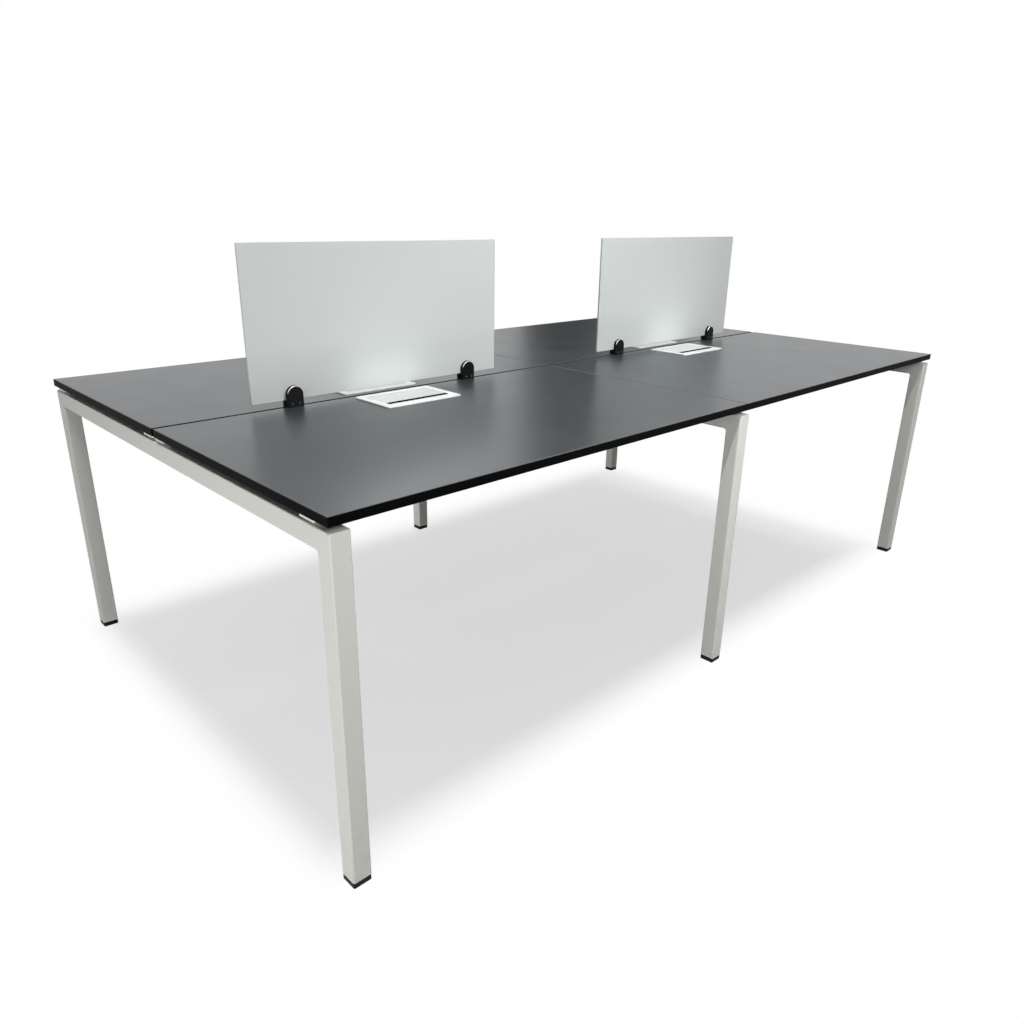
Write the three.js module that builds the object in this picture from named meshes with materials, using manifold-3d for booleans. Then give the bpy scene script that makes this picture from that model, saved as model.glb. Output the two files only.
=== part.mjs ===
// Benching desk: two rows of worktops on three portal frames, with centre screens and cable flaps.
// Millimetres, +Z up, +X along the desk, origin on the floor under the middle of the desk.
import * as THREE from 'three';
import { mergeVertices } from 'three/addons/utils/BufferGeometryUtils.js';
import Module from 'manifold-3d';

// Worktops
const WORKTOP_LENGTH = 1200;
const WORKTOP_DEPTH = 690;
const WORKTOP_THICKNESS = 18;
const WORKTOP_HEIGHT = 740;
const BAND_THICKNESS = 2;
const BAND_ARRIS = 0.8;
const SEAM_GAP = 2;
const ROW_GAP = 10;

// Portal frames, welded from square tube, with lugs that hold the worktops clear of the tube
const TUBE_SIZE = 40;
const TUBE_WALL = 2;
const TUBE_EDGE_RADIUS = 3;
const WELD_FILLET = 6;
const FRAME_INSET = 2.5;
const TOP_STANDOFF = 12;
const LUG_LENGTH = 50;
const LUG_THICKNESS = 4;
const LUG_CORNER = 4;
const LUG_POST_RADIUS = 8;
const OUTER_LUG_SETBACK = 64;
const INNER_LUG_SETBACK = 25;

// Rails between the frames, with bolted end plates
const RAIL_HEIGHT = 40;
const RAIL_WIDTH = 25;
const RAIL_WALL = 2;
const RAIL_EDGE_RADIUS = 3;
const RAIL_SETBACK = 345;
const RAIL_PLATE_WIDTH = 75;
const RAIL_PLATE_THICKNESS = 4;
const RAIL_VENT_RADIUS = 5;
const RAIL_LUG_SPREAD = 260;

// Levelling feet and the plugs in the leg ends that they screw into
const FOOT_HEIGHT = 13;
const FOOT_INSET = 0.5;
const FOOT_CORNER = 3;
const FOOT_CHAMFER = 2;
const FOOT_SEAT_GAP = 0.3;
const STUD_RADIUS = 5;
const STUD_LENGTH = 32;
const PLUG_LENGTH = 40;
const PLUG_CORNER = 2;
const SLIP_FIT = 0.3;

// Cable flap: bezel, hinged lid, hinge pin and brush strip
const FLAP_WIDTH = 225;
const FLAP_DEPTH = 146;
const FLAP_CORNER = 7;
const FLAP_SETBACK = 17;
const RIM_HEIGHT = 3;
const RIM_ROUND = 1;
const SIDE_BORDER = 20;
const REAR_BORDER = 14;
const FRONT_BORDER = 26;
const SLOT_WIDTH = 18;
const COLLAR_INSET = 10;
const COLLAR_WALL = 2.5;
const COLLAR_DROP = 4;
const COLLAR_CLEARANCE = 0.5;
const LID_THICKNESS = 2.5;
const LID_SIDE_GAP = 1;
const LID_LIP = 5;
const LID_GROOVES = 5;
const LID_GROOVE_WIDTH = 1;
const LID_GROOVE_DEPTH = 0.5;
const HINGE_GAP = 1;
const BARREL_RADIUS = 3;
const PIN_RADIUS = 1.5;
const PIN_ENGAGEMENT = 6;
const HINGE_BOSS = 8;
const LEDGE_REACH = 4;
const LEDGE_LENGTH = 18;
const BRUSH_BACKING = 6;
const BRUSH_BACKING_HEIGHT = 6.5;
const BRUSH_COVER = 0.8;
const STRANDS_PER_BRUSH = 80;
const STRAND_RADIUS = 0.6;
const STRAND_TIP_RADIUS = 0.3;
const STRAND_TIP_GAP = 0.5;
const STRAND_DEPTH = 1.2;

// Screens and the clamps that stand them over the gap between the rows
const SCREEN_WIDTH = 748;
const SCREEN_HEIGHT = 352;
const SCREEN_THICKNESS = 6;
const SCREEN_CORNER = 3;
const SCREEN_LIFT = 17;
const CLAMP_INSET = 106;
const CLAMP_WIDTH = 42;
const CLAMP_HEIGHT = 50;
const JAW_THICKNESS = 11;
const JAW_ROUND = 3;
const TONGUE_WIDTH = 30;
const CLAMP_SCREW_SPREAD = 9.5;
const CLAMP_SCREW_HEIGHT = 7.5;
const CLAMP_SCREW_RADIUS = 2.6;
const CLAMP_SCREW_RECESS = 1.2;
const CLAMP_PLATE_DEPTH = 60;
const CLAMP_PLATE_THICKNESS = 4;
const CLAMP_PLATE_CORNER = 4;
const CLAMP_BOLT_HOLE_RADIUS = 3.3;

// Facets
const CORNER_STEPS = 1;
const RIM_CORNER_STEPS = 3;
const ARCH_STEPS = 8;
const BARREL_STEPS = 8;
const ROUND_STEPS = 2;
const CIRCLE_SIDES = 16;
const STRAND_SIDES = 3;
const MERGE_DISTANCE = 1e-4;

// Places worked out from the driving dimensions
const UNDERSIDE = WORKTOP_HEIGHT - WORKTOP_THICKNESS;
const FRAME_TOP = UNDERSIDE - TOP_STANDOFF;
const DESK_HALF_LENGTH = WORKTOP_LENGTH + SEAM_GAP / 2;
const DESK_HALF_DEPTH = WORKTOP_DEPTH + ROW_GAP / 2;
const BAY_CENTRE = (WORKTOP_LENGTH + SEAM_GAP) / 2;
const END_FRAME_X = DESK_HALF_LENGTH - FRAME_INSET - TUBE_SIZE / 2;
const LEG_Y = DESK_HALF_DEPTH - FRAME_INSET - TUBE_SIZE / 2;
const LEG_BOTTOM = FOOT_HEIGHT + FOOT_SEAT_GAP;
const LUG_REACH = TUBE_SIZE + 2 * FRAME_INSET;
const RAIL_Y = DESK_HALF_DEPTH - RAIL_SETBACK;
const FLAP_Y = -(ROW_GAP / 2 + FLAP_SETBACK + FLAP_DEPTH / 2);
const OPENING_WIDTH = FLAP_WIDTH - 2 * SIDE_BORDER;
const OPENING_REAR = FLAP_DEPTH / 2 - REAR_BORDER;
const OPENING_FRONT = FRONT_BORDER - FLAP_DEPTH / 2;
const COLLAR_WIDTH = FLAP_WIDTH - 2 * COLLAR_INSET;
const COLLAR_DEPTH = FLAP_DEPTH - 2 * COLLAR_INSET;
const COLLAR_BOTTOM = -(WORKTOP_THICKNESS + COLLAR_DROP);
const HINGE_Y = OPENING_REAR - HINGE_GAP - BARREL_RADIUS;
const HINGE_Z = RIM_HEIGHT - BARREL_RADIUS;
const LID_FRONT = OPENING_FRONT + SLOT_WIDTH;
const LID_DEPTH = HINGE_Y - LID_FRONT;
const PIN_HOLE_RADIUS = PIN_RADIUS + SLIP_FIT;
const CLAMP_SPREAD = SCREEN_WIDTH / 2 - CLAMP_INSET;
const BRUSH_TOP = RIM_HEIGHT - BRUSH_COVER;

// Finishes
const LAMINATE = { color: 0x55595b, roughness: 0.4, metalness: 0 };
const BLACK_EDGE = { color: 0x151516, roughness: 0.5, metalness: 0 };
const WHITE_POWDER_COAT = { color: 0xdcddd7, roughness: 0.45, metalness: 0.1 };
const BLACK_PLASTIC = { color: 0x111112, roughness: 0.55, metalness: 0 };
const WHITE_ALUMINIUM = { color: 0xe9eae8, roughness: 0.4, metalness: 0.2 };
const STEEL_PIN = { color: 0xb9bbbd, roughness: 0.3, metalness: 0.9 };
const BRISTLE = { color: 0x0d0d0e, roughness: 0.8, metalness: 0 };
const FROSTED_ACRYLIC = { color: 0xd5dad8, roughness: 0.6, metalness: 0, transparent: true, opacity: 0.75 };
const BLACK_CLAMP = { color: 0x141415, roughness: 0.3, metalness: 0.3 };

const wasm = await Module();
wasm.setup();

// Bases that lay a flat outline in an upright plane before it is extruded
const AXIS_X = new THREE.Vector3(1, 0, 0);
const AXIS_Y = new THREE.Vector3(0, 1, 0);
const AXIS_Z = new THREE.Vector3(0, 0, 1);
const ACROSS_DESK = new THREE.Matrix4().makeBasis(AXIS_Y, AXIS_Z, AXIS_X);
const FACING_USER = new THREE.Matrix4().makeBasis(AXIS_X, AXIS_Z, AXIS_Y.clone().negate());
const TOWARDS_USER = new THREE.Matrix4().makeBasis(AXIS_Y.clone().negate(), AXIS_Z, AXIS_X.clone().negate());

// A closed geometry as a solid that can be joined and cut
function solid(geometry) {
  const bare = geometry.clone();
  bare.deleteAttribute('normal');
  bare.deleteAttribute('uv');
  const merged = mergeVertices(bare, MERGE_DISTANCE);
  const vertProperties = new Float32Array(merged.attributes.position.array);
  const triVerts = new Uint32Array(merged.index.array);
  return new wasm.Manifold(new wasm.Mesh({ numProp: 3, vertProperties, triVerts }));
}

// A solid as flat-shaded geometry
function geometryOf(body) {
  const result = body.getMesh();
  const indexed = new THREE.BufferGeometry();
  indexed.setAttribute('position', new THREE.BufferAttribute(new Float32Array(result.vertProperties), 3));
  indexed.setIndex(new THREE.BufferAttribute(new Uint32Array(result.triVerts), 1));
  const geometry = indexed.toNonIndexed();
  geometry.computeVertexNormals();
  return geometry;
}

function mesh(name, geometry, finish) {
  const piece = new THREE.Mesh(geometry, new THREE.MeshStandardMaterial(finish));
  piece.name = name;
  return piece;
}

// A block given by any two opposite corners
function block(corner, opposite) {
  const size = opposite.map((value, axis) => Math.abs(value - corner[axis]));
  const centre = opposite.map((value, axis) => (value + corner[axis]) / 2);
  return solid(new THREE.BoxGeometry(...size).translate(...centre));
}

// A round bar along Z, from bottom to top
function post(radius, x, y, bottom, top) {
  const bar = new THREE.CylinderGeometry(radius, radius, top - bottom, CIRCLE_SIDES);
  bar.rotateX(Math.PI / 2);
  return solid(bar.translate(x, y, (top + bottom) / 2));
}

// A round bar along X, centred on x = 0
function rod(radius, length, y, z) {
  const bar = new THREE.CylinderGeometry(radius, radius, length, CIRCLE_SIDES);
  bar.rotateZ(Math.PI / 2);
  return solid(bar.translate(0, y, z));
}

function roundedRectangle(width, depth, radius) {
  const x = width / 2;
  const y = depth / 2;
  const shape = new THREE.Shape();
  shape.moveTo(-x + radius, -y);
  shape.lineTo(x - radius, -y);
  shape.absarc(x - radius, -y + radius, radius, -Math.PI / 2, 0);
  shape.lineTo(x, y - radius);
  shape.absarc(x - radius, y - radius, radius, 0, Math.PI / 2);
  shape.lineTo(-x + radius, y);
  shape.absarc(-x + radius, y - radius, radius, Math.PI / 2, Math.PI);
  shape.lineTo(-x, -y + radius);
  shape.absarc(-x + radius, -y + radius, radius, Math.PI, Math.PI * 1.5);
  return shape;
}

// An outline extruded from z = 0 to z = depth, with the edges of both faces rounded
function extrude(shape, depth, rounding = 0, steps = ROUND_STEPS, arcSteps = CORNER_STEPS) {
  const geometry = new THREE.ExtrudeGeometry(shape, {
    depth: depth - 2 * rounding,
    bevelEnabled: rounding > 0,
    bevelThickness: rounding,
    bevelSize: rounding,
    bevelOffset: -rounding,
    bevelSegments: steps,
    curveSegments: arcSteps,
  });
  return geometry.translate(0, 0, rounding);
}

// An outline extruded from z = 0 to z = depth, with only its upper edges rounded
function slab(shape, depth, rounding, steps = ROUND_STEPS, arcSteps = CORNER_STEPS) {
  const tall = solid(extrude(shape, depth + rounding, rounding, steps, arcSteps).translate(0, 0, -rounding));
  const reach = 2 * (WORKTOP_LENGTH + WORKTOP_DEPTH);
  return tall.subtract(block([-reach, -reach, -2 * rounding - 1], [reach, reach, 0]));
}

// Worktop board, with its cut-out for the cable flap's collar
function boardGeometry() {
  const length = WORKTOP_LENGTH - 2 * BAND_THICKNESS;
  const depth = WORKTOP_DEPTH - 2 * BAND_THICKNESS;
  const board = block([-length / 2, -depth / 2, -WORKTOP_THICKNESS], [length / 2, depth / 2, 0]);
  const cutY = FLAP_Y + ROW_GAP / 2 + WORKTOP_DEPTH / 2;
  const cutX = COLLAR_WIDTH / 2 + COLLAR_CLEARANCE;
  const cutReach = COLLAR_DEPTH / 2 + COLLAR_CLEARANCE;
  const below = -2 * WORKTOP_THICKNESS;
  const cutOut = block([-cutX, cutY - cutReach, below], [cutX, cutY + cutReach, WORKTOP_THICKNESS]);
  return geometryOf(board.subtract(cutOut));
}

// Edge band round the board, with a softened top arris
function bandGeometry() {
  const outline = new THREE.Shape();
  const x = WORKTOP_LENGTH / 2;
  const y = WORKTOP_DEPTH / 2;
  outline.moveTo(-x, -y);
  outline.lineTo(x, -y);
  outline.lineTo(x, y);
  outline.lineTo(-x, y);
  const outer = slab(outline, WORKTOP_THICKNESS, BAND_ARRIS, 1).translate([0, 0, -WORKTOP_THICKNESS]);
  const inX = x - BAND_THICKNESS;
  const inY = y - BAND_THICKNESS;
  const core = block([-inX, -inY, -2 * WORKTOP_THICKNESS], [inX, inY, WORKTOP_THICKNESS]);
  return geometryOf(outer.subtract(core));
}

// Lug: a plate on a short post, welded to a tube whose top is at z = 0
function lug(x, y, length, reach) {
  const plate = extrude(roundedRectangle(reach, length, LUG_CORNER), LUG_THICKNESS);
  plate.translate(x, y, TOP_STANDOFF - LUG_THICKNESS);
  const stem = post(LUG_POST_RADIUS, x, y, -TUBE_WALL / 2, TOP_STANDOFF - LUG_THICKNESS / 2);
  return solid(plate).add(stem);
}

// Upside-down U that runs down past the leg ends, as the outer or inner face of the mitred tube,
// with a weld fillet in its two inner corners
function portalBody(halfSpan, top, size, edgeRadius, fillet) {
  const inside = halfSpan - size;
  const beam = top - size;
  const below = -TUBE_SIZE;
  const outline = new THREE.Shape();
  outline.moveTo(-halfSpan, below);
  outline.lineTo(-inside, below);
  outline.lineTo(-inside, beam - fillet);
  outline.absarc(fillet - inside, beam - fillet, fillet, Math.PI, Math.PI / 2, true);
  outline.lineTo(inside - fillet, beam);
  outline.absarc(inside - fillet, beam - fillet, fillet, Math.PI / 2, 0, true);
  outline.lineTo(inside, below);
  outline.lineTo(halfSpan, below);
  outline.lineTo(halfSpan, top);
  outline.lineTo(-halfSpan, top);
  const geometry = extrude(outline, size, edgeRadius).translate(0, 0, -size / 2);
  return solid(geometry.applyMatrix4(ACROSS_DESK));
}

// Portal frame: mitred hollow tube, open at the leg ends, with four lugs on its crossbar
function portalGeometry() {
  const span = LEG_Y + TUBE_SIZE / 2;
  const bore = TUBE_SIZE - 2 * TUBE_WALL;
  const outer = portalBody(span, FRAME_TOP, TUBE_SIZE, TUBE_EDGE_RADIUS, WELD_FILLET);
  const boreRadius = Math.max(TUBE_EDGE_RADIUS - TUBE_WALL, TUBE_WALL / 4);
  const inner = portalBody(span - TUBE_WALL, FRAME_TOP - TUBE_WALL, bore, boreRadius, TUBE_WALL);
  const floor = block([-TUBE_SIZE, -2 * span, -2 * TUBE_SIZE], [TUBE_SIZE, 2 * span, LEG_BOTTOM]);
  let frame = outer.subtract(inner).subtract(floor);
  const outerLug = DESK_HALF_DEPTH - OUTER_LUG_SETBACK;
  const innerLug = ROW_GAP / 2 + INNER_LUG_SETBACK;
  for (const y of [-outerLug, -innerLug, innerLug, outerLug]) {
    frame = frame.add(lug(0, y, LUG_LENGTH, LUG_REACH).translate([0, 0, FRAME_TOP]));
  }
  return geometryOf(frame);
}

// Rail: hollow tube along X between two frames, with vented end plates and two lugs
function railGeometry() {
  const length = END_FRAME_X - TUBE_SIZE;
  const section = roundedRectangle(RAIL_WIDTH, RAIL_HEIGHT, RAIL_EDGE_RADIUS);
  const boreRadius = Math.max(RAIL_EDGE_RADIUS - RAIL_WALL, RAIL_WALL / 4);
  const boreSection = roundedRectangle(RAIL_WIDTH - 2 * RAIL_WALL, RAIL_HEIGHT - 2 * RAIL_WALL, boreRadius);
  const boreLength = length - 2 * RAIL_PLATE_THICKNESS;
  const tube = extrude(section, length).translate(0, 0, -length / 2).applyMatrix4(ACROSS_DESK);
  const bore = extrude(boreSection, boreLength).translate(0, 0, -boreLength / 2).applyMatrix4(ACROSS_DESK);
  let rail = solid(tube);
  for (const side of [-1, 1]) {
    const plate = extrude(roundedRectangle(RAIL_PLATE_WIDTH, RAIL_HEIGHT, LUG_CORNER), RAIL_PLATE_THICKNESS);
    plate.translate(0, 0, -RAIL_PLATE_THICKNESS / 2).applyMatrix4(ACROSS_DESK);
    rail = rail.add(solid(plate.translate(side * (length - RAIL_PLATE_THICKNESS) / 2, 0, 0)));
    const lugX = side * RAIL_LUG_SPREAD;
    rail = rail.add(lug(lugX, 0, LUG_REACH, LUG_LENGTH).translate([0, 0, RAIL_HEIGHT / 2]));
  }
  rail = rail.subtract(solid(bore)).subtract(rod(RAIL_VENT_RADIUS, 2 * length, 0, 0));
  return geometryOf(rail);
}

// Plug pressed into a leg end, bored for the foot's stud
function plugGeometry() {
  const size = TUBE_SIZE - 2 * TUBE_WALL - 2 * SLIP_FIT;
  const body = extrude(roundedRectangle(size, size, PLUG_CORNER), PLUG_LENGTH).translate(0, 0, LEG_BOTTOM);
  const bore = post(STUD_RADIUS + SLIP_FIT, 0, 0, 0, LEG_BOTTOM + 2 * PLUG_LENGTH);
  return geometryOf(solid(body).subtract(bore));
}

// Levelling foot: square pad with a chamfered shoulder and a stud
function footGeometry() {
  const size = TUBE_SIZE - 2 * FOOT_INSET;
  const pad = slab(roundedRectangle(size, size, FOOT_CORNER), FOOT_HEIGHT, FOOT_CHAMFER, 1);
  return geometryOf(pad.add(post(STUD_RADIUS, 0, 0, FOOT_HEIGHT / 2, FOOT_HEIGHT + STUD_LENGTH)));
}

// Bezel: rimmed frame on the worktop with a collar down through the board,
// bosses for the hinge pin, ledges that stop the lid and a rebate for the brush
function bezelGeometry() {
  const halfOpening = OPENING_WIDTH / 2;
  const halfInner = COLLAR_WIDTH / 2 - COLLAR_WALL;
  const innerY = COLLAR_DEPTH / 2 - COLLAR_WALL;
  const rim = roundedRectangle(FLAP_WIDTH, FLAP_DEPTH, FLAP_CORNER);
  let bezel = slab(rim, RIM_HEIGHT, RIM_ROUND, ROUND_STEPS, RIM_CORNER_STEPS);
  const collarHigh = [COLLAR_WIDTH / 2, COLLAR_DEPTH / 2, RIM_HEIGHT / 2];
  bezel = bezel.add(block([-COLLAR_WIDTH / 2, -COLLAR_DEPTH / 2, COLLAR_BOTTOM], collarHigh));
  bezel = bezel.subtract(block([-halfInner, -innerY, 2 * COLLAR_BOTTOM], [halfInner, innerY, 0]));
  for (const side of [-1, 1]) {
    const bossFoot = [side * halfOpening, HINGE_Y - HINGE_BOSS / 2, HINGE_Z - HINGE_BOSS / 2];
    const bossHead = [side * (halfInner + COLLAR_WALL / 2), HINGE_Y + HINGE_BOSS / 2, RIM_HEIGHT / 2];
    bezel = bezel.add(block(bossFoot, bossHead));
  }
  const far = 2 * RIM_HEIGHT;
  bezel = bezel.subtract(block([-halfOpening, OPENING_FRONT, -far], [halfOpening, OPENING_REAR, far]));
  const ledgeTop = RIM_HEIGHT - LID_THICKNESS - SLIP_FIT;
  const ledgeRear = LID_FRONT + LID_LIP + LEDGE_LENGTH;
  for (const side of [-1, 1]) {
    const ledgeTip = [side * (halfOpening - LEDGE_REACH), LID_FRONT + LID_LIP, ledgeTop - RIM_HEIGHT];
    bezel = bezel.add(block(ledgeTip, [side * (halfInner + COLLAR_WALL / 2), ledgeRear, ledgeTop]));
  }
  const rebateFront = OPENING_FRONT - BRUSH_BACKING - SLIP_FIT;
  bezel = bezel.subtract(block([-halfOpening, rebateFront, -far], [halfOpening, OPENING_FRONT, BRUSH_TOP]));
  const pinHole = rod(PIN_HOLE_RADIUS, OPENING_WIDTH + 2 * (PIN_ENGAGEMENT + SLIP_FIT), HINGE_Y, HINGE_Z);
  return geometryOf(bezel.subtract(pinHole));
}

// Lid: an extruded profile with a hinge barrel at the back, shallow grooves on top and a turned-down lip.
// The outline runs from the hinge axis towards the user.
function lidGeometry() {
  const underside = BARREL_RADIUS - LID_THICKNESS;
  const meet = Math.asin(underside / BARREL_RADIUS);
  const outline = new THREE.Shape();
  outline.moveTo(0, BARREL_RADIUS);
  outline.absarc(0, 0, BARREL_RADIUS, Math.PI / 2, 2 * Math.PI + meet);
  outline.lineTo(LID_DEPTH - LID_THICKNESS, underside);
  outline.lineTo(LID_DEPTH - LID_THICKNESS, BARREL_RADIUS - LID_LIP);
  outline.lineTo(LID_DEPTH, BARREL_RADIUS - LID_LIP);
  const lipRadius = LID_THICKNESS / 2;
  outline.lineTo(LID_DEPTH, BARREL_RADIUS - lipRadius);
  outline.absarc(LID_DEPTH - lipRadius, BARREL_RADIUS - lipRadius, lipRadius, 0, Math.PI / 2);
  const pitch = LID_DEPTH / (LID_GROOVES + 1);
  for (let groove = LID_GROOVES; groove >= 1; groove -= 1) {
    const centre = groove * pitch;
    outline.lineTo(centre + LID_GROOVE_WIDTH / 2, BARREL_RADIUS);
    outline.lineTo(centre, BARREL_RADIUS - LID_GROOVE_DEPTH);
    outline.lineTo(centre - LID_GROOVE_WIDTH / 2, BARREL_RADIUS);
  }
  const pinHole = new THREE.Path();
  pinHole.absarc(0, 0, PIN_HOLE_RADIUS, 0, 2 * Math.PI, true);
  outline.holes.push(pinHole);
  const length = OPENING_WIDTH - 2 * LID_SIDE_GAP;
  const geometry = extrude(outline, length, 0, ROUND_STEPS, BARREL_STEPS);
  geometry.translate(0, 0, -length / 2).applyMatrix4(TOWARDS_USER);
  return geometryOf(solid(geometry));
}

function pinGeometry() {
  return geometryOf(rod(PIN_RADIUS, OPENING_WIDTH + 2 * PIN_ENGAGEMENT, 0, 0));
}

// Brush strip: a backing bar with one row of tapered bristles that reach across the slot
function brushGeometry() {
  const length = OPENING_WIDTH - 2 * LID_SIDE_GAP;
  const root = OPENING_FRONT - BRUSH_BACKING / 2;
  const reach = LID_FRONT - STRAND_TIP_GAP - root;
  const pitch = length / STRANDS_PER_BRUSH;
  const backLow = [-length / 2, OPENING_FRONT - BRUSH_BACKING, BRUSH_TOP - BRUSH_BACKING_HEIGHT];
  let brush = block(backLow, [length / 2, OPENING_FRONT, BRUSH_TOP]);
  for (let strand = 0; strand < STRANDS_PER_BRUSH; strand += 1) {
    const bristle = new THREE.CylinderGeometry(STRAND_TIP_RADIUS, STRAND_RADIUS, reach, STRAND_SIDES);
    bristle.translate((strand + 0.5) * pitch - length / 2, root + reach / 2, BRUSH_TOP - STRAND_DEPTH);
    brush = brush.add(solid(bristle));
  }
  return geometryOf(brush);
}

function screenGeometry() {
  const sheet = extrude(roundedRectangle(SCREEN_WIDTH, SCREEN_HEIGHT, SCREEN_CORNER), SCREEN_THICKNESS);
  return sheet.translate(0, SCREEN_HEIGHT / 2, -SCREEN_THICKNESS / 2).applyMatrix4(FACING_USER);
}

// Clamp jaw: an arched plate that stands on the worktop's edge, with a ledge under the screen
// and a tongue down into the gap between the rows
function jawGeometry() {
  const innerFace = -(SCREEN_THICKNESS / 2 + SLIP_FIT);
  const outerFace = innerFace - JAW_THICKNESS;
  const parting = -SLIP_FIT / 2;
  const half = CLAMP_WIDTH / 2;
  const arch = new THREE.Shape();
  arch.moveTo(-half, -CLAMP_HEIGHT);
  arch.lineTo(half, -CLAMP_HEIGHT);
  arch.lineTo(half, CLAMP_HEIGHT - half);
  arch.absarc(0, CLAMP_HEIGHT - half, half, 0, Math.PI);
  const deep = JAW_THICKNESS + 2 * JAW_ROUND;
  const plate = extrude(arch, deep, JAW_ROUND, ROUND_STEPS, ARCH_STEPS).applyMatrix4(FACING_USER);
  let jaw = solid(plate.translate(0, outerFace + deep, 0));
  const far = 2 * CLAMP_HEIGHT;
  jaw = jaw.subtract(block([-far, innerFace, -far], [far, far, far]));
  jaw = jaw.subtract(block([-far, -far, -far], [far, far, 0]));
  const ledgeBack = [JAW_ROUND - half, innerFace - JAW_THICKNESS / 2, 0];
  jaw = jaw.add(block(ledgeBack, [half - JAW_ROUND, parting, SCREEN_LIFT]));
  const tongueLow = [-TONGUE_WIDTH / 2, -(ROW_GAP / 2 - SLIP_FIT), SLIP_FIT - WORKTOP_THICKNESS];
  jaw = jaw.add(block(tongueLow, [TONGUE_WIDTH / 2, parting, SCREEN_LIFT / 2]));
  for (const side of [-1, 1]) {
    const radius = CLAMP_SCREW_RADIUS;
    const recess = new THREE.CylinderGeometry(radius, radius, 2 * CLAMP_SCREW_RECESS, CIRCLE_SIDES);
    recess.translate(side * CLAMP_SCREW_SPREAD, outerFace, CLAMP_SCREW_HEIGHT);
    jaw = jaw.subtract(solid(recess));
  }
  return geometryOf(jaw);
}

// Plate under both rows that a bolt draws up against the jaws
function clampPlateGeometry() {
  const outline = roundedRectangle(CLAMP_WIDTH, CLAMP_PLATE_DEPTH, CLAMP_PLATE_CORNER);
  const plate = extrude(outline, CLAMP_PLATE_THICKNESS);
  plate.translate(0, 0, -WORKTOP_THICKNESS - CLAMP_PLATE_THICKNESS);
  const hole = post(CLAMP_BOLT_HOLE_RADIUS, 0, 0, -2 * (WORKTOP_THICKNESS + CLAMP_PLATE_THICKNESS), 0);
  return geometryOf(solid(plate).subtract(hole));
}

// One worktop with its edge band and cable flap; the user sits on the -Y side
function worktop(place) {
  const group = new THREE.Group();
  const top = new THREE.Group();
  top.position.y = -(ROW_GAP + WORKTOP_DEPTH) / 2;
  top.add(mesh(`${place}_worktop`, boardGeometry(), LAMINATE));
  top.add(mesh(`${place}_edge_band`, bandGeometry(), BLACK_EDGE));
  const flap = new THREE.Group();
  flap.position.y = FLAP_Y;
  flap.add(mesh(`${place}_flap_bezel`, bezelGeometry(), WHITE_ALUMINIUM));
  flap.add(mesh(`${place}_flap_brush`, brushGeometry(), BRISTLE));
  const lid = mesh(`${place}_flap_lid`, lidGeometry(), WHITE_ALUMINIUM);
  const pin = mesh(`${place}_flap_hinge_pin`, pinGeometry(), STEEL_PIN);
  for (const piece of [lid, pin]) {
    piece.position.set(0, HINGE_Y, HINGE_Z);
    flap.add(piece);
  }
  group.add(top, flap);
  return group;
}

// Portal frame with a plug and a levelling foot in each leg
function portal(place) {
  const group = new THREE.Group();
  group.add(mesh(`${place}_frame`, portalGeometry(), WHITE_POWDER_COAT));
  for (const [end, side] of [['front', -1], ['rear', 1]]) {
    const plug = mesh(`${place}_${end}_leg_plug`, plugGeometry(), BLACK_PLASTIC);
    const foot = mesh(`${place}_${end}_foot`, footGeometry(), BLACK_PLASTIC);
    for (const piece of [plug, foot]) {
      piece.position.y = side * LEG_Y;
      group.add(piece);
    }
  }
  return group;
}

// Screen on its two clamps
function screen(place) {
  const group = new THREE.Group();
  const sheet = mesh(`${place}_screen`, screenGeometry(), FROSTED_ACRYLIC);
  sheet.position.z = SCREEN_LIFT;
  group.add(sheet);
  for (const [end, side] of [['left', -1], ['right', 1]]) {
    const name = `${place}_screen_${end}_clamp`;
    const clamp = new THREE.Group();
    clamp.position.x = side * CLAMP_SPREAD;
    const rear = mesh(`${name}_rear_jaw`, jawGeometry(), BLACK_CLAMP);
    rear.rotation.z = Math.PI;
    clamp.add(mesh(`${name}_front_jaw`, jawGeometry(), BLACK_CLAMP), rear);
    clamp.add(mesh(`${name}_plate`, clampPlateGeometry(), STEEL_PIN));
    group.add(clamp);
  }
  return group;
}

const desk = new THREE.Group();
desk.name = 'benching_desk';

for (const [place, x] of [['left', -END_FRAME_X], ['middle', 0], ['right', END_FRAME_X]]) {
  const frame = portal(place);
  frame.position.x = x;
  desk.add(frame);
}

for (const [bay, side] of [['left', -1], ['right', 1]]) {
  for (const [row, direction] of [['front', -1], ['rear', 1]]) {
    const top = worktop(`${row}_${bay}`);
    top.position.set(side * BAY_CENTRE, 0, WORKTOP_HEIGHT);
    top.rotation.z = direction > 0 ? Math.PI : 0;
    const rail = mesh(`${row}_${bay}_rail`, railGeometry(), WHITE_POWDER_COAT);
    rail.position.set(side * END_FRAME_X / 2, direction * RAIL_Y, FRAME_TOP - RAIL_HEIGHT / 2);
    desk.add(top, rail);
  }
  const divider = screen(bay);
  divider.position.set(side * BAY_CENTRE, 0, WORKTOP_HEIGHT);
  desk.add(divider);
}

export default desk;
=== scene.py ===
from functools import cache

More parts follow.
